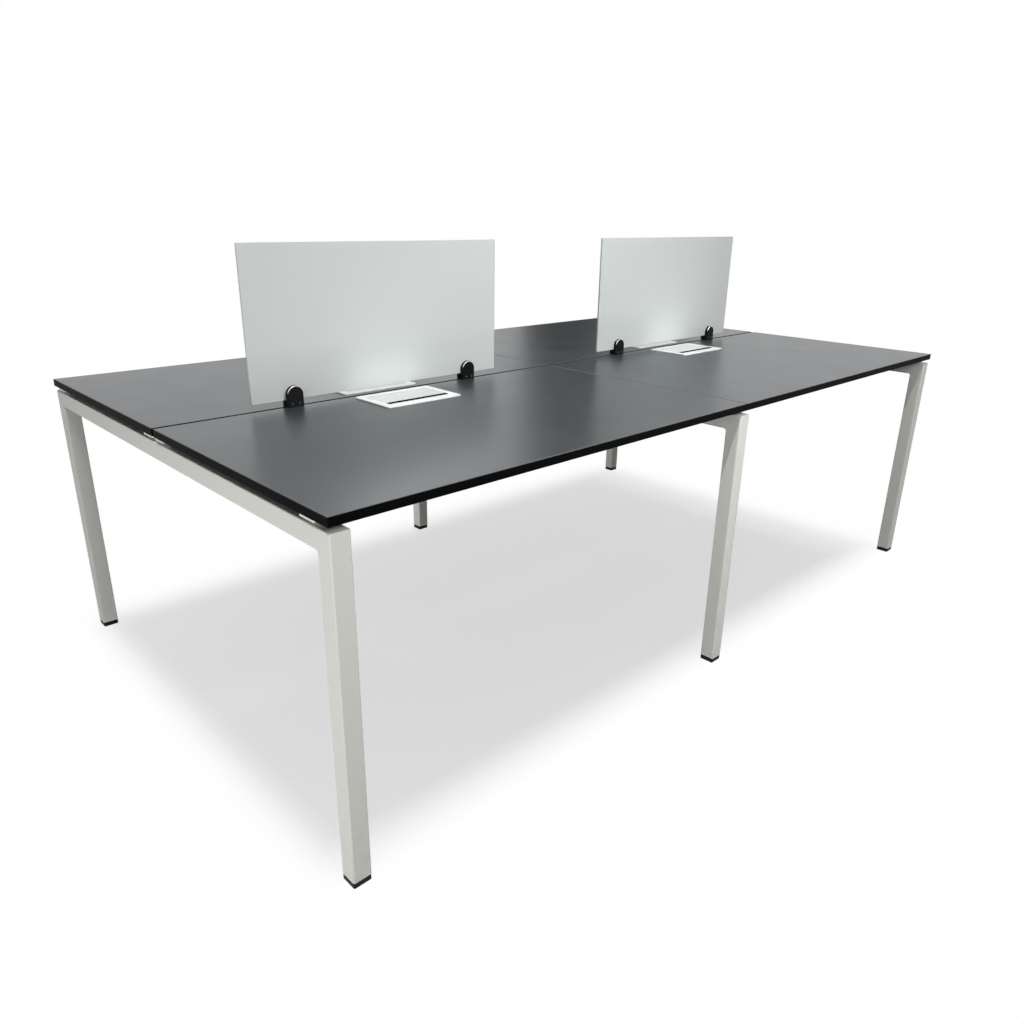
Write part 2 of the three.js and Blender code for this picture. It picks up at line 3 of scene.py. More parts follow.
import bmesh
import bpy
import numpy as np
from bpy.props import FloatProperty, FloatVectorProperty, IntProperty, PointerProperty
from bpy.types import Operator, Panel, PropertyGroup
from mathutils import Matrix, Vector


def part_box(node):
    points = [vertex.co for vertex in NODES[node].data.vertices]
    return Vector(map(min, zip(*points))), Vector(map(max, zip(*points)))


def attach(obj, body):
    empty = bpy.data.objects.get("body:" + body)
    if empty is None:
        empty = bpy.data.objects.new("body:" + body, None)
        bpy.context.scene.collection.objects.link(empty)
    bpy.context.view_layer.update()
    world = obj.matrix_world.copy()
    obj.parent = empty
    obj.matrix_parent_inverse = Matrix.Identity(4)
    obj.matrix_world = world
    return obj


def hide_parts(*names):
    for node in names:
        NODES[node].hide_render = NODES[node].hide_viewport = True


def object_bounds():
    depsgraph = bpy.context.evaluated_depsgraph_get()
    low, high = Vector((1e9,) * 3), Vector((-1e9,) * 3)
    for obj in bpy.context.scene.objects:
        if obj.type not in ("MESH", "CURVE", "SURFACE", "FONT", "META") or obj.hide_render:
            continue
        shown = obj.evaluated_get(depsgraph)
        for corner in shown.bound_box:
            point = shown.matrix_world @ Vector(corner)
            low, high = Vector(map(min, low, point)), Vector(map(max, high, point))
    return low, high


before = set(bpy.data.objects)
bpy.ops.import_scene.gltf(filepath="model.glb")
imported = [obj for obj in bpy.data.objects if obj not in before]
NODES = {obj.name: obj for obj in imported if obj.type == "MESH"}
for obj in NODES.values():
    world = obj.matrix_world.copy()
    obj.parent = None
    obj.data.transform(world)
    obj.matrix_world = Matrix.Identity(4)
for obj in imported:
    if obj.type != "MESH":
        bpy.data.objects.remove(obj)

bl_info = {
    "name": "Benching Desk",
    "version": (1, 0, 0),
    "blender": (4, 5, 0),
    "location": "View3D > Sidebar > Desk",
    "description": "Finishes and fine pieces of a benching desk with two rows of worktops",
    "category": "Object",
}

# The construction that the pieces sit on, in metres
CAD_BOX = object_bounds()
DESK = "desk"
ROWS = ("front", "rear")
BAYS = ("left", "right")
SIDES = ("left", "right")
PLACES = [f"{row}_{bay}" for row in ROWS for bay in BAYS]
RAILS = [f"{place}_rail" for place in PLACES]
FRAMES = ("left", "middle", "right")
WORKTOP_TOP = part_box("front_left_worktop")[1].z
WORKTOP_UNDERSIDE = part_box("front_left_worktop")[0].z

# Sizes of the solids that their boxes don't give
LUG_HEIGHT = 0.012
LUG_THICKNESS = 0.004
LUG_POST_RADIUS = 0.008
LUG_ROWS = (-0.631, -0.030, 0.030, 0.631)
LUG_UNDERSIDE = WORKTOP_UNDERSIDE - LUG_THICKNESS
FRAME_TOP = WORKTOP_UNDERSIDE - LUG_HEIGHT
RAIL_LUG_SPREAD = 0.260
RAIL_WIDTH = 0.025
RAIL_HEIGHT = 0.040
RAIL_CORNER = 0.003
RAIL_MIDDLE = FRAME_TOP - RAIL_HEIGHT / 2
RAIL_PLATE_THICKNESS = 0.004
FOOT_PAD_HEIGHT = 0.013
FOOT_CORNER = 0.003
FOOT_CHAMFER = 0.002
STUD_RADIUS = 0.005
BRUSH_BACKING = 0.006
BACKING_CORNER = 0.0005
BACKING_ROUND = 0.0004
SCREEN_CORNER = 0.003
JAW_THICKNESS = 0.011
JAW_ROUND = 0.003
JAW_CLEARANCE = 0.0003
TONGUE_HALF_WIDTH = 0.015
TONGUE_REACH = 0.0047
CLAMP_SCREW_SPREAD = 0.0095
CLAMP_SCREW_HEIGHT = 0.0075

# Fineness of the computed surfaces
ROUND_POINTS = 5
CORNER_POINTS = 7
ARCH_POINTS = 33
TURNED_SIDES = 24
BEAD_SIDES = 8
LUG_BEAD_POINTS = 60
RAIL_BEAD_POINTS = 120
THREAD_ROWS = 6
SUPPORT = 0.0001
MERGE_DISTANCE = 1e-7
SHARP_ANGLE = np.radians(35)
SEED = 11

# Forms of the fasteners and beads, as shares of their radius, height or half width
RIPPLE_LENGTH = 1.6
RIPPLE_SWELL = 0.10
SOCKET_RIM = 1.2
SOCKET_FLOOR = 0.35
WASHER_THICKNESS = 1 / 4
BOLT_CHAMFER = 1 / 8
BOLT_SHOULDER = 1.02
BOLT_CROWN = 0.94

# Strands of a brush: rows along one as shares of its length, their radii, and how the strands differ
STRAND_SHARES = (0, 0, 0.2, 0.4, 0.7, 1, 1)
STRAND_RADII = (0, 1, 0.88, 0.76, 0.58, 0.4, 0)
STRAND_SIDES = 3
STRAND_SHIFT = (0.1, 0.9)
STRAND_LEAN = 0.0006
STRAND_DROOP = (0.1, 1)
STRAND_LENGTH = (0.93, 1)

# Turn of a piece that points down
DOWN = ((1, 0, 0), (0, -1, 0), (0, 0, -1))


def color_setting(label, description, default):
    """A colour, as linear values."""
    return FloatVectorProperty(name=label, description=description, subtype="COLOR", default=default)


def length_setting(label, description, default):
    """A length in metres."""
    return FloatProperty(name=label, description=description, unit="LENGTH", default=default)


def angle_setting(label, description, degrees):
    """An angle, given in degrees."""
    return FloatProperty(name=label, description=description, subtype="ANGLE", default=np.radians(degrees))


def power_setting(label, description, default):
    """The power of a lamp in watts."""
    return FloatProperty(name=label, description=description, unit="POWER", default=default)


def level_setting(label, description, default):
    """A plain number."""
    return FloatProperty(name=label, description=description, default=default)


class DeskFinishes(PropertyGroup):
    """Colours of the desk's finishes."""

    laminate: color_setting("Laminate", "Worktop laminate", (0.028, 0.031, 0.034))
    edge_band: color_setting("Edge band", "Band round the worktops", (0.0025, 0.0025, 0.003))
    powder_coat: color_setting("Powder coat", "Frames and rails", (0.65, 0.655, 0.61))
    flap_coat: color_setting("Flap coat", "Cable flap lids and bezels", (0.70, 0.715, 0.71))
    plastic: color_setting("Plastic", "Feet and leg plugs", (0.010, 0.010, 0.011))
    steel: color_setting("Steel", "Plated pins, plates and fasteners", (0.60, 0.61, 0.62))
    bristle: color_setting("Bristle", "Bristles in the cable slots", (0.003, 0.003, 0.0035))
    acrylic: color_setting("Acrylic", "Frosted screens", (0.94, 0.97, 0.965))
    clamp: color_setting("Clamp", "Screen clamps", (0.008, 0.008, 0.009))


class DeskDetails(PropertyGroup):
    """Sizes and counts of the fine pieces."""

    bristles: IntProperty(name="Bristles", description="Bristles in each brush strip", default=1500, min=1)
    bristle_radius: length_setting("Bristle radius", "Radius at the root of a bristle", 0.00016)
    bristle_arch: length_setting("Bristle arch", "Rise of the bristles over the slot", 0.0022)
    bristle_droop: length_setting("Bristle droop", "Most that a bristle's tip hangs", 0.0004)
    screen_arris: length_setting("Screen arris", "Rounding of the screens' edges", 0.0006)
    thread_pitch: length_setting("Thread pitch", "Pitch of the foot studs' thread", 0.0015)
    thread_depth: length_setting("Thread depth", "Depth of the foot studs' thread", 0.0008)
    bead: length_setting("Weld bead", "Radius of the weld beads", 0.0016)


class DeskStage(PropertyGroup):
    """Camera, lamps and floor."""

    camera_place: FloatVectorProperty(
        name="Camera", description="Where the camera stands", subtype="TRANSLATION", unit="LENGTH",
        default=(-1.7765, -1.6978, 1.1744),
    )
    camera_heading: angle_setting("Heading", "Turn of the camera about Z", -43.891)
    camera_tilt: angle_setting("Tilt", "Camera's angle from straight down", 69.420)
    camera_roll: angle_setting("Roll", "Camera's turn about its own axis", 0.895)
    camera_lens: FloatProperty(
        name="Lens", description="Focal length on a 36 mm sensor", unit="CAMERA", default=27.878
    )
    horizon: level_setting("Horizon", "Strength of the surroundings on matt surfaces at the horizon", 0.08)
    zenith: level_setting("Zenith", "Strength of the surroundings on matt surfaces overhead", 0.3)
    overhead: level_setting("Overhead light", "Light straight from above, in watts per square metre", 1.25)
    back: power_setting("Back lamp", "Power of the softbox behind the screens", 10)
    key: power_setting("Key lamp", "Power of the softbox at the front", 32)
    side: power_setting("Side lamp", "Power of the low softbox on the left", 20)
    fill: power_setting("Fill lamp", "Power of the narrow softbox on the screens", 2.95)
    rear: power_setting("Rear lamp", "Power of the softbox on the desk's far side", 22)
    strip: power_setting("Strip lamp", "Power of the narrow lamp above the frames", 42)
    inner: power_setting("Inner lamp", "Power of the narrow lamp on the far legs", 0.5)
    glow: power_setting("Flap glow", "Power of the light that each white flap throws up", 0.06)
    floor_matt: level_setting("Floor", "Share of light that the floor returns to the camera", 0.6)
    floor_lift: level_setting("Floor lift", "Paleness of the floor's shadow", 0.62)
    floor_bounce: level_setting("Floor bounce", "Share of light that the floor returns to the desk", 0.34)


def add_object(name, data):
    """An object in the scene that holds a mesh, a lamp or a camera."""
    thing = bpy.data.objects.new(name, data)
    bpy.context.scene.collection.objects.link(thing)
    return thing


# Surfaces: grids of points, given as arrays of rows by columns by three

def grid_quads(rows, columns, ring):
    """Corner numbers of a grid's quads. Columns close on themselves, and so do rows in a ring."""
    last = rows if ring else rows - 1
    row, column = np.meshgrid(np.arange(last), np.arange(columns), indexing="ij")
    after = (column + 1) % columns
    near = row * columns
    far = (row + 1) % rows * columns
    corners = (near + column, near + after, far + after, far + column)
    return np.stack(corners, axis=-1).reshape(-1, 4)


def make_piece(name, surfaces, material, body=DESK, ring=False, shades=None):
    """One mesh on its body, from closed surfaces that are arrays of copies by rows by columns by three."""
    points, quads, start = [], [], 0
    for surface in surfaces:
        copies, rows, columns, _ = surface.shape
        one = grid_quads(rows, columns, ring)
        offsets = start + np.arange(copies) * rows * columns
        quads.append((one[None] + offsets[:, None, None]).reshape(-1, 4))
        points.append(surface.reshape(-1, 3))
        start += surface.size // 3
    mesh = bpy.data.meshes.new(name)
    mesh.from_pydata(np.concatenate(points).tolist(), [], np.concatenate(quads).tolist())
    if shades is not None:
        mesh.attributes.new("shade", "FLOAT", "POINT").data.foreach_set("value", shades.astype(np.float32))
    close_mesh(mesh)
    mesh.materials.append(material)
    piece = add_object(name, mesh)
    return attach(piece, body)


def close_mesh(mesh):
    """Joins the points that meet at poles, turns faces outwards and shades all but sharp edges smooth."""
    shape = bmesh.new()
    shape.from_mesh(mesh)
    bmesh.ops.remove_doubles(shape, verts=shape.verts, dist=MERGE_DISTANCE)
    bmesh.ops.recalc_face_normals(shape, faces=shape.faces)
    shape.to_mesh(mesh)
    shape.free()
    mesh.polygons.foreach_set("use_smooth", np.ones(len(mesh.polygons), bool))
    mesh.set_sharp_from_angle(angle=SHARP_ANGLE)


def placed(surface, places, turn=None):
    """Copies of one grid of points, turned by a matrix and moved to each place."""
    turned = surface if turn is None else surface @ np.asarray(turn).T
    return turned[None] + np.asarray(places, float)[:, None, None, :]


def around(count):
    """Angles of points spaced evenly round a circle."""
    return np.arange(count) * 2 * np.pi / count


def outline(half_x, half_y, corner):
    """Rounded rectangles, one for each entry: four quarter circles of the corner radius about the points
    that lie one radius inside the corners."""
    quarter = np.linspace(0, np.pi / 2, CORNER_POINTS)
    angle = (np.arange(4)[:, None] * np.pi / 2 + quarter).ravel()
    side_x = np.repeat((1, -1, -1, 1), CORNER_POINTS)
    side_y = np.repeat((1, 1, -1, -1), CORNER_POINTS)
    x = np.outer(half_x - corner, side_x) + np.outer(corner, np.cos(angle))
    y = np.outer(half_y - corner, side_y) + np.outer(corner, np.sin(angle))
    return x, y


def stack(half_x, half_y, corner, insets, heights):
    """Rounded rectangles one above the other. Row i is drawn in by insets[i] and lies at heights[i],
    and an inset as large as the shorter half closes the stack on a line."""
    x, y = outline(half_x - insets, half_y - insets, np.maximum(corner - insets, 0))
    z = np.broadcast_to(heights[:, None], x.shape)
    return np.stack((x, y, z), axis=-1)


def plate_section(thickness, half, rounding):
    """Insets and heights of a plate from the middle of its underside round its edge to the middle of its
    top, with quarter rounds on both edges and a narrow strip of support beside each."""
    turn = np.linspace(0, np.pi / 2, ROUND_POINTS)
    inset = rounding * (1 - np.sin(turn))
    rise = rounding * (1 - np.cos(turn))
    flat = rounding + SUPPORT
    insets = np.concatenate(((half, flat), inset, inset[::-1], (flat, half)))
    heights = np.concatenate(((0, 0), rise, thickness - rise[::-1], (thickness, thickness)))
    return insets, heights


def plate(size_x, size_y, thickness, corner, rounding):
    """A plate with rounded corners and edges, centred on Z, standing on z = 0."""
    half = min(size_x, size_y) / 2
    insets, heights = plate_section(thickness, half, rounding)
    return stack(size_x / 2, size_y / 2, corner, insets, heights)


def turned(rows):
    """A form turned about Z. A row holds a radius r, a height and a share h of hexagon: at an angle a the
    radius is r (1 - h + h / cos(b)), where b is a folded into the nearest twelfth of a turn."""
    radius, height, share = np.array(rows, float).T[:, :, None]
    angle = around(TURNED_SIDES)
    folded = (angle + np.pi / 6) % (np.pi / 3) - np.pi / 6
    reach = radius * (1 - share + share / np.cos(folded))
    return np.stack((reach * np.cos(angle), reach * np.sin(angle), height + 0 * reach), axis=-1)


def button_screw(radius, height, socket):
    """Domed screw head on z = 0 with a hexagonal socket: its dome is a quarter ellipse from rim to socket."""
    turn = np.linspace(0, 1, ROUND_POINTS)[:, None] * np.arccos(socket * SOCKET_RIM / radius)
    dome = np.hstack((radius * np.cos(turn), height * np.sin(turn), 0 * turn))
    top = dome[-1, 1]
    floor = top * SOCKET_FLOOR
    head = [(0, 0, 0), (radius, 0, 0), *dome]
    return turned([*head, (socket, top, 1), (socket, floor, 1), (0, floor, 1)])


def hex_bolt(flats, height, washer):
    """Hexagonal bolt head on a round washer, standing on z = 0: its top is drawn in to a chamfered circle."""
    half = flats / 2
    base = washer * WASHER_THICKNESS
    chamfer = height * BOLT_CHAMFER
    washer_rows = [(0, 0, 0), (washer, 0, 0), (washer, base, 0), (half * BOLT_SHOULDER, base, 0)]
    top = base + height
    head_rows = [(half, base, 1), (half, top - chamfer, 1), (half * BOLT_CROWN, top, 0), (0, top, 0)]
    return turned(washer_rows + head_rows)


def weld_bead(path, radius):
    """Bead along a closed flat path: a small circle carried round it. At a length s along a path of length L
    its radius is r (1 + swell sin(2 pi n s / L)), with n waves."""
    ahead = np.roll(path, -1, axis=0) - path
    run = np.cumsum(np.linalg.norm(ahead, axis=1))
    along = np.roll(path, -1, axis=0) - np.roll(path, 1, axis=0)
    along /= np.linalg.norm(along, axis=1)[:, None]
    outward = np.stack((along[:, 1], -along[:, 0]), axis=-1)
    waves = np.round(run[-1] / (RIPPLE_LENGTH * radius))
    swell = radius * (1 + RIPPLE_SWELL * np.sin(2 * np.pi * waves * run / run[-1]))[:, None]
    angle = around(BEAD_SIDES)
    reach = swell * np.cos(angle)
    x = path[:, :1] + outward[:, :1] * reach
    y = path[:, 1:] + outward[:, 1:] * reach
    return np.stack((x, y, swell * np.sin(angle)), axis=-1)


def round_path(radius, count):
    """Points of a circle."""
    angle = around(count)
    return radius * np.stack((np.cos(angle), np.sin(angle)), axis=-1)


def box_path(half_x, half_y, corner, count):
    """Points spaced evenly along a rounded rectangle."""
    x, y = (row[0] for row in outline(np.array([half_x]), np.array([half_y]), np.array([corner])))
    x, y = np.append(x, x[0]), np.append(y, y[0])
    run = np.append(0, np.cumsum(np.hypot(np.diff(x), np.diff(y))))
    even = np.arange(count) * run[-1] / count
    return np.stack((np.interp(even, run, x), np.interp(even, run, y)), axis=-1)


def screw_thread(radius, depth, pitch, low, high):
    """Stud with a thread: the radius falls by the depth as a triangle wave of (z / pitch - angle / turn)."""
    heights = np.linspace(low, high, int((high - low) / pitch * THREAD_ROWS))
    angle = around(TURNED_SIDES)
    phase = (heights[:, None] / pitch - angle / (2 * np.pi)) % 1
    reach = radius - depth * np.abs(2 * phase - 1)
    reach = np.vstack((0 * reach[:1], reach, 0 * reach[-1:]))
    heights = np.concatenate((heights[:1], heights, heights[-1:]))[:, None]
    return np.stack((reach * np.cos(angle), reach * np.sin(angle), heights + 0 * reach), axis=-1)


def bristles(corner, length, reach, depth, details, draw):
    """Strands that reach along +Y. At a share t of its length a strand lies at x + lean t, reach t and
    z + arch (1 - (1 - t) cubed) - droop t squared, and its ring has the radius r (1 - 0.6 t), closed at
    both ends."""
    count = details.bristles
    share = np.array(STRAND_SHARES)[None, :, None]
    ring = np.array(STRAND_RADII)[None, :, None] * details.bristle_radius
    angle = around(STRAND_SIDES)[None, None, :]
    x0 = corner[0] + (np.arange(count) + draw.uniform(*STRAND_SHIFT, count)) * length / count
    z0 = corner[2] - draw.uniform(0, depth, count)
    lean = draw.normal(0, STRAND_LEAN, count)
    droop = draw.uniform(*STRAND_DROOP, count) * details.bristle_droop
    long = reach * draw.uniform(*STRAND_LENGTH, count)
    x0, z0, lean, droop, long = (value[:, None, None] for value in (x0, z0, lean, droop, long))
    x = np.clip(x0 + lean * share + ring * np.cos(angle), corner[0], corner[0] + length)
    y = corner[1] + long * share + 0 * angle
    rise = details.bristle_arch * (1 - (1 - share) ** 3)
    z = z0 + rise - droop * share ** 2 + ring * np.sin(angle)
    return np.stack((x, y, z), axis=-1)


def clamp_jaw(half, height, ledge, parting, inner, outer, drop):
    """Jaw as outlines at growing distance from the screen's middle plane. Each outline is a sum of five
    shares: tongue half-width, body half-width, shoulder height, rise of the arch over it and drop of the
    tongue. The ledge under the screen comes first, then the arched plate, whose outer edge is a quarter
    round."""
    theta = np.linspace(np.pi, 0, ARCH_POINTS)[1:-1]
    none, full = np.zeros(2), np.ones(2)
    arc = 0 * theta
    tongue = np.concatenate((-full, none, arc, none, full))
    body = np.concatenate((none, -full, np.cos(theta), full, none))
    shoulder = np.concatenate((none, (0, 1), arc + 1, (1, 0), none))
    rise = np.concatenate((none, none, np.sin(theta), none, none))
    fall = np.concatenate(((-1, 0), none, arc, none, (0, -1)))
    wide, deep = TONGUE_HALF_WIDTH, TONGUE_REACH
    ledge_half = half - JAW_ROUND
    spring = height - half
    turn = np.linspace(0, np.pi / 2, ROUND_POINTS)
    inset = JAW_ROUND * (1 - np.cos(turn))
    rows = [
        (parting, 0, 0, ledge, 0, drop),
        (parting, wide, ledge_half, ledge, 0, drop),
        (inner, wide, ledge_half, ledge, 0, drop),
        (inner, wide, half, spring, half, drop),
        (deep, wide, half, spring, half, drop),
        (deep, wide, half, spring, half, 0),
    ]
    for draw_in, angle in zip(inset, turn):
        face = outer - JAW_ROUND * (1 - np.sin(angle))
        rows.append((face, wide, half - draw_in, spring, half - draw_in, 0))
    draw_in = JAW_ROUND + SUPPORT
    rows.append((outer, wide, half - draw_in, spring, half - draw_in, 0))
    rows.append((outer, 0, 0, spring, 0, 0))
    away, *shares = np.array(rows).T
    x = np.outer(shares[0], tongue) + np.outer(shares[1], body)
    z = np.outer(shares[2], shoulder) + np.outer(shares[3], rise) + np.outer(shares[4], fall)
    return np.stack((x, -away[:, None] + 0 * x, z), axis=-1)


# Shader nodes

def add_node(tree, kind, inputs=(), **settings):
    """Outputs of a new shader node, with its properties set and its inputs filled with values or links."""
    node = tree.nodes.new(f"ShaderNode{kind}")
    for name, value in settings.items():
        setattr(node, name, value)
    for key, value in dict(inputs).items():
        if isinstance(value, bpy.types.NodeSocket):
            tree.links.new(value, node.inputs[key])
        else:
            node.inputs[key].default_value = value
    return node.outputs


def mix_colors(tree, factor, first, second, mode="MIX"):
    """Colour mixed from two colours."""
    inputs = {0: factor, 6: first, 7: second}
    return add_node(tree, "Mix", inputs, data_type="RGBA", blend_type=mode)[2]


def spread(tree, value, low, high, to_low=0.0, to_high=1.0):
    """A value taken from one range to another, and held inside it."""
    return add_node(tree, "MapRange", {0: value, 1: low, 2: high, 3: to_low, 4: to_high})[0]


def noise(tree, vector, scale, detail):
    """Value of a noise texture."""
    return add_node(tree, "TexNoise", {"Vector": vector, "Scale": scale, "Detail": detail})[0]


def math(tree, operation, first, second):
    """Result of an operation on two values."""
    return add_node(tree, "Math", {0: first, 1: second}, operation=operation)[0]


# Kinds of the groups' sockets that aren't numbers
SOCKETS = {"Vector": "Vector", "Color": "Color", "Fleck": "Color", "Dust": "Color", "Scuff": "Color"}


def new_group(name, inputs, outputs):
    """A shader node group with the named inputs and outputs, which are numbers where SOCKETS has none."""
    tree = bpy.data.node_groups.new(name, "ShaderNodeTree")
    for way, labels in (("INPUT", inputs), ("OUTPUT", outputs)):
        for label in labels:
            kind = SOCKETS.get(label, "Float")
            tree.interface.new_socket(label, in_out=way, socket_type=f"NodeSocket{kind}")
    return tree, tree.nodes.new("NodeGroupInput").outputs, tree.nodes.new("NodeGroupOutput").inputs


def normal_parts(tree):
    """X, Y and Z of the surface's normal."""
    return add_node(tree, "SeparateXYZ", {0: add_node(tree, "NewGeometry")["Normal"]})


# Noise of the shared effects: how fine it is, how many layers it has and which part of its range counts
FLECK_DETAIL, FLECK_RANGE = 2.0, (0.52, 0.72)
CLOUD_NOISE = (3.0, 3.0)
SKIN_DETAIL = 3.0
SMEAR_NOISE = (7.0, 5.0)
SWING_RANGE = (0.3, 0.7, -1.0, 1.0)
DUST_NOISE, DUST_RANGE = (11.0, 6.0), (0.35, 0.75)
STREAK_NOISE, STREAK_RANGE = (60.0, 6.0), (0.5, 0.75)

# Parts of a normal between which a mask grows from none to full
DUSTY_UP = (0.4, 1.0)
# Upward faces of the edge band, which take a painted sheen
SHEEN_UP = (0.3, 0.8)
# Upper part of a jaw's rounded edge, which takes a painted highlight
EDGE_STARTS, EDGE_ENDS, EDGE_UP = (0.15, 0.35), (0.9, 0.7), (0.15, 0.4)


@cache
def fleck_group():
    """Colour with fine flecks of a second colour, and slow clouds of light and dark."""
    inputs = ("Vector", "Color", "Fleck", "Scale", "Share", "Cloud")
    tree, given, result = new_group("Desk Fleck", inputs, ["Color"])
    fine = noise(tree, given["Vector"], given["Scale"], FLECK_DETAIL)
    flecked = math(tree, "MULTIPLY", spread(tree, fine, *FLECK_RANGE), given["Share"])
    color = mix_colors(tree, flecked, given["Color"], given["Fleck"])
    slow = noise(tree, given["Vector"], *CLOUD_NOISE)
    swing = math(tree, "MULTIPLY", spread(tree, slow, *SWING_RANGE), given["Cloud"])
    level = math(tree, "ADD", swing, 1.0)
    shade = add_node(tree, "CombineColor", {0: level, 1: level, 2: level})[0]
    tree.links.new(mix_colors(tree, 1.0, color, shade, "MULTIPLY"), result["Color"])
    return tree


@cache
def skin_group():
    """Height of a fine moulded or sprayed skin, and roughness smeared by handling."""
    inputs = ("Vector", "Grain", "Roughness", "Smear")
    tree, given, result = new_group("Desk Skin", inputs, ["Height", "Roughness"])
    tree.links.new(noise(tree, given["Vector"], given["Grain"], SKIN_DETAIL), result["Height"])
    smears = noise(tree, given["Vector"], *SMEAR_NOISE)
    swing = math(tree, "MULTIPLY", spread(tree, smears, *SWING_RANGE), given["Smear"])
    tree.links.new(math(tree, "ADD", given["Roughness"], swing), result["Roughness"])
    return tree


@cache
def dust_group():
    """Colour under a thin film of dust, which lies in patches on what faces up."""
    inputs = ("Vector", "Color", "Dust", "Amount")
    tree, given, result = new_group("Desk Dust", inputs, ["Color", "Mask"])
    up = spread(tree, normal_parts(tree)[2], *DUSTY_UP)
    patches = spread(tree, noise(tree, given["Vector"], *DUST_NOISE), *DUST_RANGE)
    film = math(tree, "MULTIPLY", math(tree, "MULTIPLY", up, patches), given["Amount"])
    tree.links.new(mix_colors(tree, film, given["Color"], given["Dust"]), result["Color"])
    tree.links.new(film, result["Mask"])
    return tree


@cache
def scuff_group():
    """Colour rubbed darker in streaks below a height, as by shoes and mops near the floor."""
    inputs = ("Vector", "Color", "Scuff", "Level", "Amount")
    tree, given, result = new_group("Desk Scuff", inputs, ["Color"])
    height = add_node(tree, "SeparateXYZ", {0: given["Vector"]})[2]
    below = math(tree, "SUBTRACT", 1.0, math(tree, "DIVIDE", height, given["Level"]))
    streaks = spread(tree, noise(tree, given["Vector"], *STREAK_NOISE), *STREAK_RANGE)
    streaks = math(tree, "MULTIPLY", streaks, given["Amount"])
    mask = math(tree, "MULTIPLY", spread(tree, below, 0.0, 1.0), streaks)
    tree.links.new(mix_colors(tree, mask, given["Color"], given["Scuff"]), result["Color"])
    return tree


@cache
def bevel_group():
    """Mask of the upper part of a rounded edge between a face towards Y and its sides, where a jaw's painted
    highlight goes.
    """
    tree, _, result = new_group("Desk Bevel", [], ["Mask"])
    parts = normal_parts(tree)
    facing = math(tree, "ABSOLUTE", parts[1], 0.0)
    edge = math(tree, "MULTIPLY", spread(tree, facing, *EDGE_STARTS), spread(tree, facing, *EDGE_ENDS))
    tree.links.new(math(tree, "MULTIPLY", edge, spread(tree, parts[2], *EDGE_UP)), result["Mask"])
    return tree


DUST = (0.36, 0.35, 0.33, 1)
SCUFF = (0.16, 0.15, 0.14, 1)
# Painted highlight on the upper part of the clamp jaws' edges
JAW_HIGHLIGHT = (0.93, 0.93, 0.92, 1)
# Painted sheen on the edge band's upward faces, standing in for reflected light
BAND_SHEEN = (0.17, 0.175, 0.18, 1)
PALE_STRAND = 5


def place_group(tree, group, *values):
    """One shared effect placed in a material, with values or links for its inputs in their order."""
    return add_node(tree, "Group", enumerate(values), node_tree=group())


def new_material(name):
    """A material made of nodes."""
    material = bpy.data.materials.new(name)
    material.use_nodes = True
    return material


def grey(level):
    """A neutral colour."""
    return (level, level, level, 1)


def scaled(color, factor):
    """A colour made lighter or darker."""
    return tuple(min(1.0, channel * factor) for channel in color)


def mix_in(material, mask, color):
    """Mixes a colour into a finish where a mask says so."""
    tree = material.node_tree
    base = tree.nodes["Principled BSDF"].inputs["Base Color"]
    tree.links.new(mix_colors(tree, mask, base.links[0].from_socket, color), base)


def paint_band_sheen(material):
    """Paints a pale sheen where the black band faces up, standing in for its reflection of the bright
    surroundings.
    """
    tree = material.node_tree
    mix_in(material, spread(tree, normal_parts(tree)[2], *SHEEN_UP), BAND_SHEEN)


def paint_jaw_highlight(material):
    """Paints a highlight along the upper part of a jaw's edge: bright bare metal mixed into the black coat
    there, whose reflection stands in for the glint of light on the black coat.
    """
    tree = material.node_tree
    highlit = place_group(tree, bevel_group)["Mask"]
    mix_in(material, highlit, JAW_HIGHLIGHT)
    tree.links.new(highlit, tree.nodes["Principled BSDF"].inputs["Metallic"])


def shade_strands(material):
    """Gives each nylon bristle its own shade."""
    shade = add_node(material.node_tree, "Attribute", attribute_name="shade")["Fac"]
    pale = scaled(bpy.context.scene.desk_finishes.bristle, PALE_STRAND)
    mix_in(material, shade, (*pale, 1))


